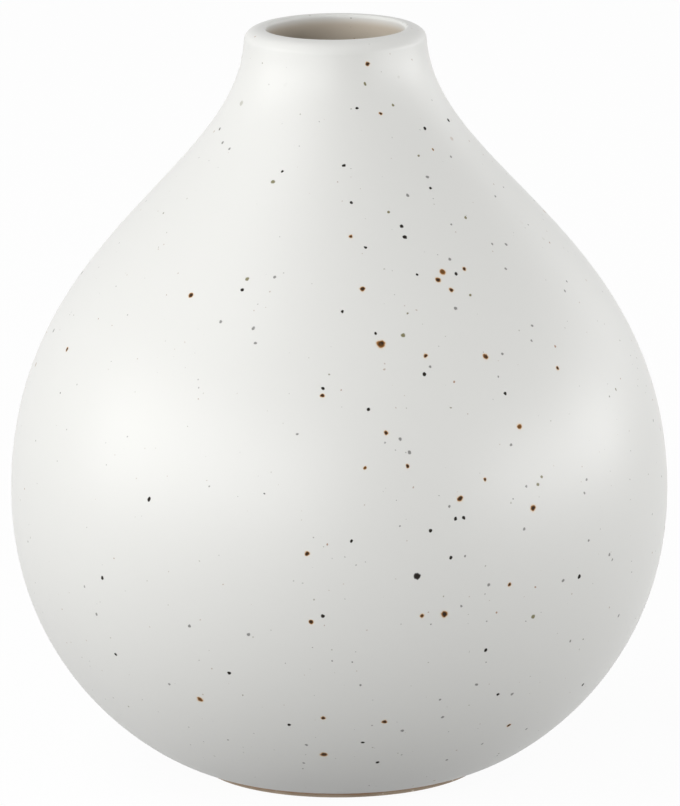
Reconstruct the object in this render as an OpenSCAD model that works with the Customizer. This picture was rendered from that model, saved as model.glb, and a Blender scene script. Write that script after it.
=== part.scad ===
// Ceramic bud vase: a thrown stoneware bottle with a round belly and a narrow neck.
// The clay carries three layers of glaze: a coat outside, a liner inside and a pool under the foot.
// Millimetres. +Z is up, and the origin is the centre of the foot on the table.

/* [Vase] */
// Height from the table to the top of the lip
vase_h = 120; // [100:1:150]
// Diameter across the fullest part of the belly
belly_d = 105; // [86:1:130]
// Height of the fullest part of the belly above the table
belly_z = 45; // [36:1:56]

/* [Mouth] */
// Diameter of the opening in the mouth
mouth_d = 22; // [18:0.5:28]
// Thickness of the lip, glaze included
lip_t = 3.45; // [3.1:0.05:4.5]
// Height of the rounding on the outside of the lip
lip_round_h = 2; // [1.5:0.1:3]
// Radius of the rounding on the inside of the lip
lip_inner_r = 0.6; // [0.5:0.1:1.2]
// Length of the straight throat below the inside rounding
throat_h = 5; // [4:0.5:9]
// Depth that the coat reaches into the throat before it meets the liner
coat_reach = 1.5; // [0.5:0.1:3]

/* [Foot] */
// Diameter of the foot at the glaze line
foot_d = 46.6; // [36:0.2:58]
// Height of the glaze line above the table
bare_h = 0.8; // [0.4:0.1:2]
// Inset of the ring's outer edge on the table from the glaze line
ring_inset = 0.6; // [0.3:0.1:1.5]
// Width of the ring that stands on the table
ring_w = 4.5; // [3:0.1:7]
// Height of the hollow inside the ring
recess_h = 1.8; // [1:0.1:3]
// Bare clay between the recess's cove and the pool of glaze
pool_margin = 1; // [0.5:0.1:3]

/* [Walls] */
// Thickness of the clay wall
wall_t = 3; // [2.4:0.1:3.8]
// Thickness of the clay floor above the recess
floor_t = 4.5; // [3:0.1:6]
// Thickness of the coat of glaze outside
coat_t = 0.4; // [0.32:0.02:0.48]
// Thickness of the liner glaze inside
liner_t = 0.25; // [0.2:0.01:0.3]
// Thickness of the glaze pool under the foot
pool_t = 0.4; // [0.2:0.05:0.6]

/* [Curve] */
// Rise of the wall where it leaves the foot, in degrees
foot_slope = 14; // [8:0.5:24]
// How far the wall keeps that rise, as a share of the way out to the belly
foot_pull = 0.28; // [0.15:0.01:0.5]
// How upright the lower belly stands, as a share of its height
belly_pull = 0.64; // [0.45:0.01:0.75]
// How upright the upper belly stands, as a share of the height from belly to lip
shoulder_pull = 0.555; // [0.4:0.005:0.65]
// How long the neck runs, as a share of the height from belly to lip
neck_pull = 0.3; // [0.15:0.01:0.4]
// Lean of the neck from upright where it meets the lip, in degrees
neck_lean = 3.5; // [0:0.5:8]

/* [Hidden] */
$fn = 96;

lower_steps = 40;
upper_steps = 56;
lip_steps = 12;
round_steps = 6;

belly_r = belly_d / 2;
mouth_r = mouth_d / 2;
foot_r = foot_d / 2;
lip_r = mouth_r + lip_t;
lip_z = vase_h - lip_round_h;
crest_r = mouth_r + lip_inner_r;
inner_round_z = vase_h - lip_inner_r;
coat_end_z = inner_round_z - coat_reach;
ring_outer_r = foot_r - ring_inset;
ring_inner_r = ring_outer_r - ring_w;
recess_r = ring_inner_r - recess_h;
pool_r = recess_r - pool_margin;
clay_floor_z = recess_h + floor_t;
hollow_depth = coat_t + wall_t + liner_t;
hollow_r = belly_r - hollow_depth;
throat_z = inner_round_z - throat_h;

// The outside is two cubic curves that meet upright at the belly, as [radius, height] points
lower_curve = [
    [foot_r, bare_h],
    [foot_r, bare_h] + foot_pull * (belly_r - foot_r) * [1, tan(foot_slope)],
    [belly_r, belly_z - belly_pull * (belly_z - bare_h)],
    [belly_r, belly_z]
];
upper_curve = [
    [belly_r, belly_z],
    [belly_r, belly_z + shoulder_pull * (lip_z - belly_z)],
    [lip_r, lip_z] + neck_pull * (lip_z - belly_z) * [tan(neck_lean), -1],
    [lip_r, lip_z]
];
// Above the belly the hollow is one more such curve. Its two middle points are this far below and
// above the outside's, in wall thicknesses, which keeps the wall even round the shoulder.
hollow_drop = 0.82;
hollow_rise = 0.45;
hollow_curve = [
    [hollow_r, belly_z],
    [hollow_r, upper_curve[1].y - hollow_drop * hollow_depth],
    [mouth_r, upper_curve[2].y + hollow_rise * hollow_depth],
    [mouth_r, throat_z]
];

function backwards(list) = [for (i = [len(list) - 1:-1:0]) list[i]];
function unit(v) = v / norm(v);

function on_curve(c, t) =
    let (u = 1 - t)
    u * u * u * c[0] + 3 * u * u * t * c[1] + 3 * u * t * t * c[2] + t * t * t * c[3];
function along_curve(c, t) =
    let (u = 1 - t)
    unit(u * u * (c[1] - c[0]) + 2 * u * t * (c[2] - c[1]) + t * t * (c[3] - c[2]));

// A place on a skin is [point, direction outwards], so that neighbouring layers share one surface
function curve_place(c, t) =
    let (way = along_curve(c, t))
    [on_curve(c, t), [way.y, -way.x]];
function lip_place(a) =
    let (w = lip_r - crest_r, h = lip_round_h)
    [[crest_r + w * cos(a), lip_z + h * sin(a)], unit([cos(a) / w, sin(a) / h])];
function inner_round_place(a) =
    [[crest_r, inner_round_z] + lip_inner_r * [cos(a), sin(a)], [cos(a), sin(a)]];
function raised(skin, by) = [for (place = skin) place[0] + by * place[1]];

lower_skin = [for (i = [0:lower_steps]) curve_place(lower_curve, i / lower_steps)];
outer_skin = concat(
    lower_skin,
    [for (i = [1:upper_steps]) curve_place(upper_curve, i / upper_steps)],
    [for (i = [1:lip_steps]) lip_place(90 * i / lip_steps)],
    [for (i = [1:round_steps]) inner_round_place(90 + 90 * i / round_steps)],
    [[[mouth_r, coat_end_z], [-1, 0]]]
);
inner_skin = concat(
    [for (place = lower_skin) [place[0] - hollow_depth * place[1], place[1]]],
    [for (i = [1:upper_steps]) curve_place(hollow_curve, i / upper_steps)],
    [[[mouth_r, coat_end_z], [1, 0]]]
);

// The inner skin, cut off by a flat floor
function floored(skin, by, floor_z) =
    let (
        points = raised(skin, by),
        below = [for (p = points) if (p.y <= floor_z) p]
    )
    concat(
        [[0, floor_z], [below[len(below) - 1].x, floor_z]],
        [for (p = points) if (p.y > floor_z) p]
    );

clay_outside = raised(outer_skin, -coat_t);
clay_inside = floored(inner_skin, liner_t, clay_floor_z);
liner_inside = floored(inner_skin, 0, clay_floor_z + liner_t);

// A cove turns from the recess's roof down to the ring's inner edge
foot_underside = concat(
    [for (i = [round_steps:-1:0]) let (a = 90 * i / round_steps) [recess_r, 0] + recess_h * [cos(a), sin(a)]],
    [[ring_outer_r, 0]]
);

module turned(outline) {
    rotate_extrude()
        polygon(outline);
}

module clay_body() {
    color("#cbb89c")
        turned(concat([[0, recess_h]], foot_underside, clay_outside, backwards(clay_inside)));
}

module outer_glaze() {
    color("#e9e6df")
        turned(concat(raised(outer_skin, 0), backwards(clay_outside)));
}

module liner_glaze() {
    color("#ddd6c8")
        turned(concat(clay_inside, backwards(liner_inside)));
}

module base_glaze() {
    edge_centre = [pool_r - pool_t, recess_h];
    edge = [for (i = [0:round_steps]) let (a = 90 * i / round_steps) edge_centre + pool_t * [cos(a), -sin(a)]];
    color("#e4e0d6")
        turned(concat([[0, recess_h]], edge, [[0, recess_h - pool_t]]));
}

clay_body();
outer_glaze();
liner_glaze();
base_glaze();
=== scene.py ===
"""Bud vase: a thrown stoneware bottle in speckled satin glaze, finished over its CAD pieces.

Each piece is turned again, finely, from its own CAD section, and takes a glaze or a clay that is
worked out from the place on the pot. Lengths in the mesh are metres, and patterns are in millimetres.
"""

import math

import bmesh
import bpy
from mathutils import Matrix, Vector
from mathutils.kdtree import KDTree


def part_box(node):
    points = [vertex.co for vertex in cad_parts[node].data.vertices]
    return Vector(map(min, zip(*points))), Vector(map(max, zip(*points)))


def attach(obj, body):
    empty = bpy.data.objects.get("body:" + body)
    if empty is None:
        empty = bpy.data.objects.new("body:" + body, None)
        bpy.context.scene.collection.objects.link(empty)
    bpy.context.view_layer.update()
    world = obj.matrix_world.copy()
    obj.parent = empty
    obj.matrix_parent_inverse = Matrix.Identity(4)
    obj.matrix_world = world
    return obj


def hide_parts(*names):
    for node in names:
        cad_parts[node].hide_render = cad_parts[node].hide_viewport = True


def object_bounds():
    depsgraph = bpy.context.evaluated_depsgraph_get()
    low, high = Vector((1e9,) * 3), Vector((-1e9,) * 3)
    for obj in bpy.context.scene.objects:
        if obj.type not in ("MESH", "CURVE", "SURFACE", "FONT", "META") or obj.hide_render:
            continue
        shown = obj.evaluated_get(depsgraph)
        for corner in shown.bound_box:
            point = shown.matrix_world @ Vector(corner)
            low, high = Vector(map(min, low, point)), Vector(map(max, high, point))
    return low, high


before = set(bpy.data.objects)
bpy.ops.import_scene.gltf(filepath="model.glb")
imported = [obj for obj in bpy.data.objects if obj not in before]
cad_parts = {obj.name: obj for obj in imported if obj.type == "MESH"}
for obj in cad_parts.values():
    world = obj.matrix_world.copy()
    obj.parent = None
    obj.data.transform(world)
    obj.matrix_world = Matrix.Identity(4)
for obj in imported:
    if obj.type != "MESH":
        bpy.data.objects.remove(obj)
BOX_LOW, BOX_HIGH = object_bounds()

bl_info = {
    "name": "Speckled Bud Vase",
    "version": (1, 0, 0),
    "blender": (4, 5, 0),
    "location": "3D View > Sidebar > Bud Vase",
    "description": "Turns and glazes a stoneware bud vase over its CAD pieces",
    "category": "Object",
}

MM = 0.001
SAME_PLACE = 2e-6  # metres; two corners of a section this close are one
HIDDEN_SHARE = 0.03  # of its own size, for a stretch of a piece that lies against another
UV_NAME = "OFBake"
UV_MARGIN = 0.01

LAMP_DISTANCE = 1.5  # metres from the middle of the vase
FLOOR_REACH = 12  # metres from the middle of the floor to its edges
FLOOR_GLOW = 0.95  # share of the seen floor that glows white; the rest shows the shadow
VIEW_SHIFT = (0.0018, -0.0081)  # of the picture's width

# Layers of specks strewn through a glaze, each as (mm apart, mm across, how dark)
COAT_SPECKS = ((3.7, 1.2, 1.0), (3.2, 0.55, 0.85), (2.2, 0.45, 0.6), (1.6, 0.36, 0.4))
LINER_SPECKS = ((4.0, 0.5, 0.8), (1.8, 0.25, 0.5))
POOL_SPECKS = ((3.0, 0.6, 0.9), (1.6, 0.3, 0.7))
LAYER_SHIFT = 17.3  # mm between the patterns of two layers
SPARE_CHANCE = 0.375  # share of the strewn specks that have no size at all
PIT_DEPTH = 0.012  # mm
PEEL_DEPTH = 0.0012  # mm, of the fine orange peel

# Iron spots on the front of the pot, each as (degrees round from the front, mm up, mm across)
RUST_SPOTS = (
    (20, 116.5, 0.7), (24, 109, 0.6), (46, 103, 0.5), (4, 92.5, 0.7), (27.5, 87, 1.1), (25.5, 86, 1.0),
    (28, 84.5, 0.9), (34, 87, 0.8), (6, 85.5, 0.9), (-36.5, 83.5, 0.9), (9, 78, 1.4), (18, 76, 0.8),
    (31, 75, 1.0), (-68, 72, 0.8), (47.5, 71.5, 0.7), (-3, 71, 0.7), (8.5, 65.5, 0.8), (34.5, 64.5, 0.9),
    (12, 60.5, 0.6), (4.5, 60.5, 0.6), (26, 57.5, 0.6), (21, 55, 1.0), (35, 52, 1.1), (-5.5, 47.5, 0.8),
    (30, 40.5, 0.7), (14, 37, 0.8), (18, 37, 1.2), (-5, 36.5, 0.8), (-28, 21.5, 1.1), (-3.5, 19.5, 0.8),
    (8.5, 18.5, 0.9), (38.5, 14.5, 0.8), (-4, 12, 1.3),
)
BLACK_SPOTS = (
    (11.5, 110, 0.5), (47.5, 106, 0.6), (70, 106, 0.7), (3, 102, 0.6), (-22, 101, 0.5), (35.5, 98, 0.6),
    (5, 97, 0.5), (20, 93.5, 0.6), (20, 92, 0.7), (8, 91, 0.5), (20.5, 87, 0.5), (31, 86.5, 0.6),
    (-23.5, 85, 0.6), (1, 82.5, 0.5), (8, 79.5, 0.5), (17, 73.5, 0.6), (-3, 72, 0.5), (33, 69.5, 0.6),
    (5.5, 69, 0.5), (-34.5, 54, 0.7), (20, 52, 0.6), (21.5, 52, 0.6), (15.5, 50.5, 0.6), (2, 49.5, 0.5),
    (19, 46, 0.6), (13, 43.5, 1.1), (-45, 40, 0.6), (45.5, 39.5, 0.7), (-3, 37.5, 0.6), (26.5, 30, 0.6),
    (-20.5, 27, 0.6), (-45.5, 27, 0.6), (31.5, 21.5, 0.5), (58, 18.5, 0.6), (-10.5, 18, 0.6),
    (4.5, 14.5, 0.6), (8.5, 10, 0.7),
)
OLIVE_SPOTS = (
    (17.5, 113.5, 0.5), (32.5, 110, 0.5), (37, 102.5, 0.5), (-24.5, 99.5, 0.7), (17, 95.5, 0.5),
    (43, 93.5, 0.6), (-23, 86.5, 0.8), (32.5, 83.5, 0.5), (14, 79, 0.7), (37.5, 56.5, 0.5),
    (36.5, 55.5, 0.6), (35.5, 34.5, 0.8),
)
SMALL_SPOTS = (
    (18.5, 74.5, 0.4), (32.5, 72, 0.4), (11, 64.5, 0.5), (12.5, 62.5, 0.5), (32, 62, 0.4), (19, 54, 0.4),
    (21.5, 46, 0.4), (34, 55.5, 0.4), (33, 49, 0.5), (26, 41, 0.5), (26, 24, 0.5), (35, 21, 0.5),
    (48, 54.5, 0.5), (47, 52.5, 0.4), (47.5, 45, 0.5), (53.5, 41.5, 0.5), (54.5, 40.5, 0.4),
    (41.5, 39.5, 0.5), (46, 28.5, 0.5), (60.5, 30, 0.5), (21, 38, 0.4), (-48, 33.5, 0.5),
    (-27, 34.5, 0.5), (-16, 34, 0.5), (3.5, 25.5, 0.4), (12.5, 16.5, 0.5), (26.5, 9, 0.5),
    (34, 11.5, 0.5), (46, 12.5, 0.5), (20.5, 18.5, 0.5), (19, 22, 0.4), (-34, 23.5, 0.5),
    (-9, 10, 0.5), (-7.5, 14, 0.5), (-26.5, 80.5, 0.5), (-16, 87, 0.5), (-18.5, 80, 0.5),
    (-17.5, 78, 0.5), (-7.5, 65.5, 0.4), (54, 101.5, 0.5), (-70, 105, 0.5), (-60, 103.5, 0.5),
    (-53, 103, 0.5), (36.5, 99.5, 0.5), (25.5, 97.5, 0.5), (31, 88.5, 0.5), (27.5, 82, 0.5),
    (45.5, 78, 0.5), (43.5, 76, 0.4), (35, 75, 0.4), (46.5, 86, 0.5), (62.5, 81, 0.5), (66, 82, 0.4),
    (73, 95.5, 0.4), (63, 95, 0.4), (52, 89, 0.5), (47, 89.5, 0.4),
)


# Settings


def colour(name, description, default):
    """A colour that the sidebar shows, in linear red, green and blue."""
    return bpy.props.FloatVectorProperty(
        name=name, description=description, default=default, size=3, min=0, max=1, subtype="COLOR"
    )


def length(name, description, default):
    """A length in metres that the sidebar shows in the scene's units."""
    return bpy.props.FloatProperty(
        name=name, description=description, default=default, min=0, subtype="DISTANCE", unit="LENGTH"
    )


def share(name, description, default):
    """A number from 0 to 1."""
    return bpy.props.FloatProperty(
        name=name, description=description, default=default, min=0, max=1, subtype="FACTOR"
    )


def lamp_power(name, description, default):
    """A lamp's power in watts."""
    return bpy.props.FloatProperty(
        name=name, description=description, default=default, min=0, subtype="POWER", unit="POWER"
    )


class GlazeSettings(bpy.types.PropertyGroup):
    """The satin glaze and the iron in it"""

    body: colour("Glaze", "Colour of the glaze over the outside", (0.62, 0.62, 0.60))
    lining: colour("Liner", "Colour of the glaze inside the mouth", (0.52, 0.46, 0.38))
    rust: colour("Rust", "Colour of iron that has bled into the glaze", (0.27, 0.11, 0.015))
    black: colour("Black", "Colour of iron that stayed whole", (0.012, 0.008, 0.005))
    olive: colour("Olive", "Colour of iron that lies deep in the glaze", (0.13, 0.115, 0.035))
    halo: colour("Halo", "Colour of the stain round a rust spot", (0.60, 0.43, 0.24))
    roughness: share("Roughness", "Roughness of the satin surface", 0.42)
    ripple: length("Ripple", "Height of the slow ripple in the glaze", 0.00001)


class ClaySettings(bpy.types.PropertyGroup):
    """The bare clay of the foot"""

    body: colour("Clay", "Colour of the fired stoneware", (0.42, 0.33, 0.245))
    toast: colour("Toasted edge", "Colour of the clay where the glaze was wiped off", (0.36, 0.20, 0.105))
    grog: colour("Grog", "Colour of the coarse grains", (0.60, 0.53, 0.44))
    roughness: share("Roughness", "Roughness of the bare clay", 0.85)


class TurningSettings(bpy.types.PropertyGroup):
    """How finely the pieces are turned"""

    steps: bpy.props.IntProperty(
        name="Steps",
        description="Faces round the pot",
        default=192,
        min=32,
        max=360,
        subtype="UNSIGNED",
    )
    crease: bpy.props.FloatProperty(
        name="Crease",
        description="Corners sharper than this stay crisp",
        default=math.radians(35),
        subtype="ANGLE",
        unit="ROTATION",
    )


class StudioSettings(bpy.types.PropertyGroup):
    """The camera, the lamps and the floor"""

    distance: length("Distance", "From the camera to the middle of the vase", 1.2)
    elevation: bpy.props.FloatProperty(
        name="Elevation",
        description="How far the camera looks down",
        default=math.radians(13.17),
        subtype="ANGLE",
        unit="ROTATION",
    )
    roll: bpy.props.FloatProperty(
        name="Roll",
        description="Turn of the camera about its view",
        default=math.radians(-0.5),
        subtype="ANGLE",
        unit="ROTATION",
    )
    lens: bpy.props.FloatProperty(
        name="Lens", description="Focal length", default=335.6, min=1, subtype="DISTANCE_CAMERA"
    )
    ambient: share("Ambient", "Strength of the light from all round", 0.3)
    key: lamp_power("Key", "Power of the wide lamp at the left front", 37)
    top: lamp_power("Top", "Power of the lamp above and to the left", 8)
    side: lamp_power("Side", "Power of the low lamp at the right", 18)
    back: lamp_power("Back", "Power of the lamp behind and to the right", 3)
    floor: colour("Floor", "Colour of the floor", (0.36, 0.36, 0.36))


# Turning


def cut_at_axis(shape, across, both_sides):
    """Cuts a shape by a plane through the axis, and keeps the far side or only the cut."""
    bmesh.ops.bisect_plane(
        shape,
        geom=shape.verts[:] + shape.edges[:] + shape.faces[:],
        dist=SAME_PLACE,
        plane_co=(0, 0, 0),
        plane_no=across,
        clear_inner=True,
        clear_outer=both_sides,
    )


def section_of(node):
    """Half of a CAD piece's section through the axis, as a bmesh of edges in the XZ plane."""
    shape = bmesh.new()
    shape.from_mesh(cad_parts[node].data)
    bmesh.ops.remove_doubles(shape, verts=shape.verts, dist=SAME_PLACE)
    cut_at_axis(shape, (0, 1, 0), True)
    cut_at_axis(shape, (1, 0, 0), False)
    return shape


def places_of(section):
    """A section's corners, ready to be looked up by place."""
    tree = KDTree(len(section.verts))
    for corner in section.verts:
        tree.insert(corner.co, corner.index)
    tree.balance()
    return tree


def section_edges(node):
    """The edges of a CAD piece's section, each as a pair of places."""
    section = section_of(node)
    edges = [tuple(corner.co.copy() for corner in edge.verts) for edge in section.edges]
    section.free()
    return edges


SECTION_EDGES = {"outer_glaze": section_edges("outer_glaze")}


def walk_order(section):
    """The section's corners in order, from its lowest end, or from its lowest corner if it is a ring."""
    ends = [corner for corner in section.verts if len(corner.link_edges) == 1]
    start = min(ends or section.verts, key=lambda corner: corner.co.z)
    order = [start]
    passed = set()
    while True:
        onward = [edge for edge in order[-1].link_edges if edge not in passed]
        if not onward:
            break
        passed.add(onward[0])
        corner = onward[0].other_vert(order[-1])
        if corner is start:
            break
        order.append(corner)
    return order


def measure_section(section, covering):
    """Writes how far along the section each corner is, and returns the whole length.

    A stretch that lies against another piece can't be seen, so it counts for little.
    """
    along = section.verts.layers.float.new("along")
    order = walk_order(section)
    total = 0.0
    closing = [] if len(order[0].link_edges) == 1 else [order[0]]
    for near, far in zip(order, order[1:] + closing):
        near[along] = total
        hidden = all(
            any(tree.find(corner.co)[2] < SAME_PLACE for tree in covering) for corner in (near, far)
        )
        total += (far.co - near.co).length * (HIDDEN_SHARE if hidden else 1)
    if not closing:
        order[-1][along] = total
    return total


def lay_out(shape, total):
    """Unrolls a turned shape into a UV map: once round across it, and along its section up it."""
    along = shape.verts.layers.float["along"]
    uv = shape.loops.layers.uv.new(UV_NAME)
    for face in shape.faces:
        middle = face.calc_center_median()
        heading = math.atan2(middle.y, middle.x)
        ups = [corner[along] for corner in face.verts]
        wraps = max(ups) - min(ups) > total / 2
        for loop in face.loops:
            place = loop.vert.co
            on_axis = math.hypot(place.x, place.y) < SAME_PLACE
            turn = 0.0 if on_axis else math.atan2(place.y, place.x) - heading
            turn = (turn + math.pi) % math.tau - math.pi
            up = loop.vert[along]
            if wraps and up < total / 2:
                up += total
            across = 0.5 + (heading + turn) / math.tau
            loop[uv].uv = [UV_MARGIN + (1 - 2 * UV_MARGIN) * part for part in (across, up / total)]


def turned_piece(node, name, material):
    """Turns a CAD piece again from its section, finely, and puts it in the CAD piece's place."""
    turning = bpy.context.scene.vase_turning
    shape = section_of(node)
    others = [places_of(section_of(other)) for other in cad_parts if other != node]
    total = measure_section(shape, others)
    bmesh.ops.spin(
        shape,
        geom=shape.verts[:] + shape.edges[:],
        cent=(0, 0, 0),
        axis=(0, 0, 1),
        angle=math.tau,
        steps=turning.steps,
        use_merge=True,
    )
    bmesh.ops.remove_doubles(shape, verts=shape.verts, dist=SAME_PLACE)
    bmesh.ops.recalc_face_normals(shape, faces=shape.faces)
    if shape.calc_volume(signed=True) <= 0:
        raise RuntimeError(f"{name} came out inside out")
    if any(len(edge.link_faces) != 2 for edge in shape.edges):
        raise RuntimeError(f"{name} isn't closed")
    for face in shape.faces:
        face.smooth = True
    lay_out(shape, total)
    mesh = bpy.data.meshes.new(name)
    shape.to_mesh(mesh)
    shape.free()
    mesh.set_sharp_from_angle(angle=turning.crease)
    mesh.materials.append(material)
    piece = bpy.data.objects.new(name, mesh)
    bpy.context.scene.collection.objects.link(piece)
    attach(piece, "root")
    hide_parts(node)
    return piece


# Materials


class Value:
    """One output of a node. Arithmetic on it adds Math nodes to the same tree."""

    def __init__(self, tree, socket):
        self.tree = tree
        self.socket = socket

    def _math(self, operation, first, second):
        return self.tree.node("ShaderNodeMath", {"operation": operation}, {0: first, 1: second})

    def __add__(self, other):
        return self._math("ADD", self, other)

    def __radd__(self, other):
        return self._math("ADD", other, self)

    def __sub__(self, other):
        return self._math("SUBTRACT", self, other)

    def __rsub__(self, other):
        return self._math("SUBTRACT", other, self)

    def __mul__(self, other):
        return self._math("MULTIPLY", self, other)

    def __rmul__(self, other):
        return self._math("MULTIPLY", other, self)

    def __truediv__(self, other):
        return self._math("DIVIDE", self, other)

    def __rtruediv__(self, other):
        return self._math("DIVIDE", other, self)

    def least(self, other):
        """The smaller of the two."""
        return self._math("MINIMUM", self, other)

    def most(self, other):
        """The larger of the two."""
        return self._math("MAXIMUM", self, other)

    def output(self, name):
        """Another output of the same node."""
        return Value(self.tree, self.socket.node.outputs[name])


class Tree:
    """A node tree, filled one node at a time."""

    def __init__(self, owner):
        owner.use_nodes = True
        self.tree = owner.node_tree
        self.tree.nodes.clear()

    def node(self, kind, settings=None, inputs=None, output=0):
        """Adds a node with its settings and the values or links of its sockets, and returns an output."""
        made = self.tree.nodes.new(kind)
        count = len(self.tree.nodes)
        made.location = (220 * (count % 12), -320 * (count // 12))
        for name, value in (settings or {}).items():
            if name == "stops":
                self.set_stops(made.color_ramp, value)
            else:
                setattr(made, name, value)
        for name, value in (inputs or {}).items():
            socket = made.inputs[name]
            if isinstance(value, Value):
                self.tree.links.new(value.socket, socket)
            elif socket.type == "RGBA" and len(value) == 3:
                socket.default_value = (*value, 1)
            else:
                socket.default_value = value
        return Value(self, made.outputs[output]) if made.outputs else None

    @staticmethod
    def set_stops(ramp, stops):
        """Gives a colour ramp its stops, each a position and a colour, with no blend between them."""
        ramp.interpolation = "CONSTANT"
        while len(ramp.elements) < len(stops):
            ramp.elements.new(1.0)
        for element, (position, tint) in zip(ramp.elements, stops):
            element.position = position
            element.color = (*tint, 1)

    def vector(self, operation, first, second=None, scale=None, output="Vector"):
        """Vector maths."""
        inputs = {0: first}
        if second is not None:
            inputs[1] = second
        if scale is not None:
            inputs["Scale"] = scale
        return self.node("ShaderNodeVectorMath", {"operation": operation}, inputs, output)

    def place_in_mm(self):
        """The shaded place on the pot, in millimetres."""
        return self.vector("SCALE", self.node("ShaderNodeTexCoord", output="Object"), scale=1 / MM)

    def mixed(self, amount, first, second):
        """The first colour, turned towards the second by an amount from 0 to 1."""
        return self.node(
            "ShaderNodeMix", {"data_type": "RGBA"}, {0: amount, 6: first, 7: second}, output=2
        )

    def eased(self, value, start, end, start_value=0.0, end_value=1.0):
        """A smooth step from one value to another as the input goes from start to end."""
        return self.node(
            "ShaderNodeMapRange",
            {"interpolation_type": "SMOOTHSTEP"},
            {"Value": value, "From Min": start, "From Max": end, "To Min": start_value, "To Max": end_value},
        )

    def noise(self, place, size, detail=2.0, output="Fac"):
        """Cloudy noise whose blotches are about size millimetres across."""
        return self.node(
            "ShaderNodeTexNoise", None, {"Vector": place, "Scale": 1 / size, "Detail": detail}, output
        )

    def finish_surface(self, height, inputs):
        """Adds a bump of a height in millimetres, the shader and the material's output."""
        surface = self.node("ShaderNodeBump", None, {"Strength": 1.0, "Distance": MM, "Height": height})
        shader = self.node("ShaderNodeBsdfPrincipled", None, {**inputs, "Normal": surface})
        self.node("ShaderNodeOutputMaterial", None, {"Surface": shader})


def placed_spots(tree, place, spots):
    """How far the place is from the nearest of some spots, in that spot's own radius."""
    nearest = None
    for turn, up, across in spots:
        radius = outside_radius("outer_glaze", up * MM) / MM
        heading = math.radians(turn)
        centre = (radius * math.sin(heading), -radius * math.cos(heading), up)
        away = tree.vector("DISTANCE", place, centre, output="Value") * (2 / across)
        nearest = away if nearest is None else nearest.least(away)
    return nearest


def outside_radius(node, up):
    """The outside radius of a CAD piece at a height, in metres."""
    widths = []
    for near, far in SECTION_EDGES[node]:
        low, high = sorted((near, far), key=lambda corner: corner.z)
        if low.z <= up <= high.z and high.z > low.z:
            widths.append(low.x + (high.x - low.x) * (up - low.z) / (high.z - low.z))
    return max(widths)


def strewn_specks(tree, place, spacing, across, seed):
    """Specks strewn at random, about spacing millimetres apart and at most so many across.

    Returns how strongly the place is within one, and two random numbers of the speck.
    """
    shifted = tree.vector("ADD", place, (seed, 2 * seed, 3 * seed))
    cell = tree.node(
        "ShaderNodeTexVoronoi", {"feature": "F1"}, {"Vector": shifted, "Scale": 1 / spacing}, "Distance"
    )
    chance = tree.node("ShaderNodeSeparateColor", None, {"Color": cell.output("Color")}, "Red")
    radius = ((chance - SPARE_CHANCE) / (1 - SPARE_CHANCE)).most(0.01) * (across / 2)
    inside = 1 - tree.eased(cell * spacing / radius.most(0.01), 0.6, 1.0)
    return inside, chance.output("Green"), chance.output("Blue")


def throat_tint_and_shade(tree, place, tint):
    """Turns the coat towards the liner's colour as it runs down into the mouth: partly the glaze thinning
    over the liner, partly painted shade down the throat.
    """
    glaze = bpy.context.scene.vase_glaze
    top = BOX_HIGH.z / MM
    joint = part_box("liner_glaze")[1].z
    bore = min(near.x for near, _ in SECTION_EDGES["outer_glaze"] if near.z > joint) / MM
    across = tree.vector("LENGTH", tree.vector("MULTIPLY", place, (1, 1, 0)), output="Value")
    up = tree.node("ShaderNodeSeparateXYZ", None, {"Vector": place}, "Z")
    near_bore = tree.eased(across, bore + 0.2, bore + 0.6, 1.0, 0.0)
    inside = near_bore * tree.eased(up, joint / MM + 0.2, top - 0.3, 1.0, 0.0)
    return tree.mixed(inside, tint, glaze.lining)


def wandering(tree, place, size, amount):
    """The place, pushed about by up to an amount of millimetres, so that round spots come out uneven."""
    push = tree.vector("SUBTRACT", tree.noise(place, size, 1.0, "Color"), (0.5, 0.5, 0.5))
    return tree.vector("ADD", place, tree.vector("SCALE", push, scale=2 * amount))


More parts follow.
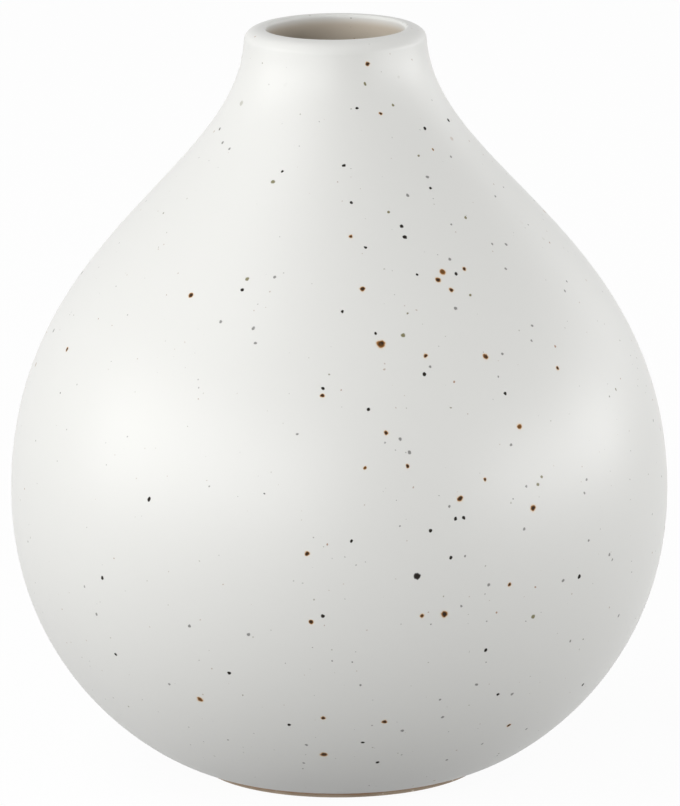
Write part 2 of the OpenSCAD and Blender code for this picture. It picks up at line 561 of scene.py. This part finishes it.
def speckled_glaze(name, body, spots_on_front, strewn):
    """Satin glaze with iron in it.

    The glaze is rippled, and each layer of strewn specks is given as (mm apart, mm across, how dark).
    Where spots are placed on the front, the first layer keeps to the back and the sides.
    """
    glaze = bpy.context.scene.vase_glaze
    material = bpy.data.materials.new(name)
    tree = Tree(material)
    place = tree.place_in_mm()
    uneven = wandering(tree, place, 0.7, 0.2)

    # Inside the mouth the coat darkens towards the liner's colour, partly as thinning glaze and partly as
    # painted shade down the throat.
    tint = throat_tint_and_shade(tree, place, body) if spots_on_front else body

    pits = None
    for layer, (spacing, across, darkness) in enumerate(strewn):
        inside, kind, depth = strewn_specks(tree, uneven, spacing, across, LAYER_SHIFT * layer)
        if spots_on_front and layer == 0:
            back = tree.node("ShaderNodeSeparateXYZ", None, {"Vector": place}, "Y")
            inside = inside * tree.eased(back, -15, 0)
        iron = tree.node(
            "ShaderNodeValToRGB",
            {"stops": ((0.0, glaze.black), (0.42, glaze.rust), (0.78, glaze.olive))},
            {"Fac": kind},
            "Color",
        )
        strength = inside * darkness * (0.55 + 0.45 * depth)
        tint = tree.mixed(strength, tint, iron)
        pits = inside if pits is None else pits.most(inside)

    if spots_on_front:
        rust = placed_spots(tree, uneven, RUST_SPOTS)
        tint = tree.mixed(tree.eased(rust, 0.8, 1.4, 0.6, 0.0), tint, glaze.halo)
        tint = tree.mixed(tree.eased(rust, 0.75, 1.0, 1.0, 0.0), tint, glaze.rust)
        core = tree.eased(tree.noise(place, 2.5), 0.3, 0.5, 0.55, 0.95)
        tint = tree.mixed(core * tree.eased(rust, 0.4, 0.85, 1.0, 0.0), tint, glaze.black)
        olive = placed_spots(tree, uneven, OLIVE_SPOTS)
        tint = tree.mixed(tree.eased(olive, 0.7, 1.2, 0.95, 0.0), tint, glaze.olive)
        black = placed_spots(tree, uneven, BLACK_SPOTS)
        tint = tree.mixed(tree.eased(black, 0.85, 1.15, 1.0, 0.0), tint, glaze.black)
        small = placed_spots(tree, uneven, SMALL_SPOTS)
        tint = tree.mixed(tree.eased(small, 0.7, 1.3, 0.7, 0.0), tint, glaze.black)
        near = rust.least(black)
        pits = pits.most(tree.eased(near, 0.5, 1.1, 1.0, 0.0))

    ripple = (tree.noise(place, 7, 2.0) - 0.5) * (glaze.ripple / MM)
    peel = (tree.noise(place, 0.9, 2.0) - 0.5) * PEEL_DEPTH
    tree.finish_surface(
        ripple + peel - pits * PIT_DEPTH,
        {
            "Base Color": tint,
            "Metallic": pits * 0.6,
            "Roughness": glaze.roughness + pits * 0.4,
            "IOR": 1.5,
        },
    )
    return material


def bare_clay():
    """Bare stoneware, with coarse grains and a toasted edge where the glaze was wiped off."""
    clay = bpy.context.scene.vase_clay
    material = bpy.data.materials.new("bare_clay")
    tree = Tree(material)
    place = tree.place_in_mm()
    clouds = tree.noise(place, 6, 4.0)
    dark = [0.78 * part for part in clay.body]
    tint = tree.mixed(tree.eased(clouds, 0.3, 0.7), clay.body, dark)
    up = tree.node("ShaderNodeSeparateXYZ", None, {"Vector": place}, "Z")
    bare_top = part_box("outer_glaze")[0].z / MM
    toasted = tree.eased(up + (clouds - 0.5) * 0.7, bare_top * 0.35, bare_top * 0.95)
    tint = tree.mixed(toasted * 0.8, tint, clay.toast)
    grains, kind, _ = strewn_specks(tree, place, 0.9, 0.7, 3.1)
    tint = tree.mixed(grains * tree.eased(kind, 0.3, 0.5), tint, clay.grog)
    iron, _, _ = strewn_specks(tree, place, 1.8, 0.6, 9.7)
    tint = tree.mixed(iron * 0.8, tint, bpy.context.scene.vase_glaze.black)
    height = (tree.noise(place, 0.5, 4.0) - 0.5) * 0.06 + grains * 0.03
    tree.finish_surface(height, {"Base Color": tint, "Roughness": clay.roughness - clouds * 0.1})
    return material


# Operators


class VASE_OT_coat(bpy.types.Operator):
    """Turns the coat of speckled glaze over the outside and the lip"""

    bl_idname = "vase.coat"
    bl_label = "Speckled Coat"

    def execute(self, context):
        body = context.scene.vase_glaze.body
        material = speckled_glaze("speckled_glaze", body, True, COAT_SPECKS)
        turned_piece("outer_glaze", "speckled_coat", material)
        return {"FINISHED"}


class VASE_OT_liner(bpy.types.Operator):
    """Turns the liner of glaze inside the pot"""

    bl_idname = "vase.liner"
    bl_label = "Liner"

    def execute(self, context):
        body = context.scene.vase_glaze.lining
        material = speckled_glaze("liner_glaze", body, False, LINER_SPECKS)
        turned_piece("liner_glaze", "liner", material)
        return {"FINISHED"}


class VASE_OT_clay(bpy.types.Operator):
    """Turns the clay pot, which shows bare at the foot"""

    bl_idname = "vase.clay"
    bl_label = "Clay Pot"

    def execute(self, context):
        turned_piece("clay_body", "clay_pot", bare_clay())
        return {"FINISHED"}


class VASE_OT_foot_pool(bpy.types.Operator):
    """Turns the pool of glaze under the foot"""

    bl_idname = "vase.foot_pool"
    bl_label = "Foot Pool"

    def execute(self, context):
        body = context.scene.vase_glaze.body
        material = speckled_glaze("base_glaze", body, False, POOL_SPECKS)
        turned_piece("base_glaze", "foot_pool", material)
        return {"FINISHED"}


class VASE_OT_studio(bpy.types.Operator):
    """Sets out the floor, the lamps and the camera"""

    bl_idname = "vase.studio"
    bl_label = "Studio"

    def execute(self, context):
        studio = context.scene.vase_studio
        lay_floor(studio)
        light_world(studio)
        hang_lamp("key_lamp", studio.key, (3.2, 1.0), -50, 12.5)
        hang_lamp("top_lamp", studio.top, (1.6, 0.8), -90, 62)
        hang_lamp("side_lamp", studio.side, (2.0, 0.45), 82, 5.5)
        hang_lamp("back_lamp", studio.back, (1.25, 0.6), 124, 13)
        place_camera(studio)
        return {"FINISHED"}


def seen_rays(tree):
    """1 for rays from the camera, directly or by way of a reflection or clear matter, else 0."""
    seen = tree.node("ShaderNodeLightPath", output="Is Camera Ray")
    return seen.most(seen.output("Is Glossy Ray")).most(seen.output("Is Transmission Ray"))


def lay_floor(studio):
    """A wide floor that looks white and keeps the vase's shadow."""
    shape = bmesh.new()
    bmesh.ops.create_grid(shape, x_segments=1, y_segments=1, size=FLOOR_REACH)
    mesh = bpy.data.meshes.new("floor")
    shape.to_mesh(mesh)
    shape.free()
    material = bpy.data.materials.new("floor")
    tree = Tree(material)
    seen = seen_rays(tree)
    plain = tree.node("ShaderNodeBsdfDiffuse", None, {"Color": studio.floor})
    bright = tree.node("ShaderNodeBsdfDiffuse", None, {"Color": (0.9, 0.9, 0.9)})
    white = tree.node("ShaderNodeEmission", None, {"Color": (1, 1, 1), "Strength": 1.0})
    shown = tree.node("ShaderNodeMixShader", None, {0: FLOOR_GLOW, 1: bright, 2: white})
    shader = tree.node("ShaderNodeMixShader", None, {0: seen, 1: plain, 2: shown})
    tree.node("ShaderNodeOutputMaterial", None, {"Surface": shader})
    mesh.materials.append(material)
    floor = bpy.data.objects.new("floor", mesh)
    bpy.context.scene.collection.objects.link(floor)


def light_world(studio):
    """Even light from all round, and white where the camera or a reflection looks past the floor."""
    world = bpy.data.worlds.new("studio")
    bpy.context.scene.world = world
    tree = Tree(world)
    seen = seen_rays(tree)
    strength = seen + (1 - seen) * studio.ambient
    background = tree.node("ShaderNodeBackground", None, {"Color": (1, 1, 1), "Strength": strength})
    tree.node("ShaderNodeOutputWorld", None, {"Surface": background})


def hang_lamp(name, power, size, turn, elevation):
    """A soft lamp that faces the vase. Turn is in degrees round from the camera, to its right."""
    middle = (BOX_LOW + BOX_HIGH) / 2
    heading = math.radians(turn)
    rise = math.radians(elevation)
    way = Vector(
        (math.sin(heading) * math.cos(rise), -math.cos(heading) * math.cos(rise), math.sin(rise))
    )
    light = bpy.data.lights.new(name, "AREA")
    light.shape = "RECTANGLE"
    light.size, light.size_y = size
    light.energy = power
    lamp = bpy.data.objects.new(name, light)
    lamp.location = middle + LAMP_DISTANCE * way
    lamp.rotation_euler = way.to_track_quat("Z", "Y").to_euler()
    bpy.context.scene.collection.objects.link(lamp)


def place_camera(studio):
    """A camera in front of the vase, looking down at its middle."""
    middle = (BOX_LOW + BOX_HIGH) / 2
    way = Vector((0, -math.cos(studio.elevation), math.sin(studio.elevation)))
    lens = bpy.data.cameras.new("camera")
    lens.lens = studio.lens
    lens.shift_x, lens.shift_y = VIEW_SHIFT
    camera = bpy.data.objects.new("camera", lens)
    turn = way.to_track_quat("Z", "Y").to_matrix() @ Matrix.Rotation(studio.roll, 3, "Z")
    camera.matrix_world = Matrix.Translation(middle + studio.distance * way) @ turn.to_4x4()
    bpy.context.scene.collection.objects.link(camera)
    bpy.context.scene.camera = camera


# Sidebar


class VASE_PT_sidebar(bpy.types.Panel):
    """The pieces of the vase and their settings"""

    bl_idname = "VASE_PT_sidebar"
    bl_label = "Bud Vase"
    bl_space_type = "VIEW_3D"
    bl_region_type = "UI"
    bl_category = "Bud Vase"

    def draw(self, context):
        for title, settings, operators in PANEL_ROWS:
            box = self.layout.box()
            box.label(text=title)
            group = getattr(context.scene, settings)
            for name in group.bl_rna.properties.keys():
                if name not in ("rna_type", "name"):
                    box.prop(group, name)
            for operator in operators:
                box.operator(operator)


SETTINGS = {
    "vase_turning": TurningSettings,
    "vase_glaze": GlazeSettings,
    "vase_clay": ClaySettings,
    "vase_studio": StudioSettings,
}
PANEL_ROWS = (
    ("Turning", "vase_turning", ()),
    ("Glaze", "vase_glaze", ("vase.coat", "vase.liner", "vase.foot_pool")),
    ("Clay", "vase_clay", ("vase.clay",)),
    ("Studio", "vase_studio", ("vase.studio",)),
)
CLASSES = (
    *SETTINGS.values(),
    VASE_OT_coat,
    VASE_OT_liner,
    VASE_OT_clay,
    VASE_OT_foot_pool,
    VASE_OT_studio,
    VASE_PT_sidebar,
)


def register():
    """Adds the classes, and their settings to the scene."""
    for made in CLASSES:
        bpy.utils.register_class(made)
    for name, settings in SETTINGS.items():
        setattr(bpy.types.Scene, name, bpy.props.PointerProperty(type=settings))


def unregister():
    """Takes the settings and the classes away again."""
    for name in SETTINGS:
        delattr(bpy.types.Scene, name)
    for made in reversed(CLASSES):
        bpy.utils.unregister_class(made)


def main():
    """Makes the vase and its studio."""
    register()
    bpy.context.scene.view_settings.view_transform = "Standard"
    bpy.ops.vase.studio()
    bpy.ops.vase.coat()
    bpy.ops.vase.liner()
    bpy.ops.vase.clay()
    bpy.ops.vase.foot_pool()


if __name__ == "__main__":
    main()
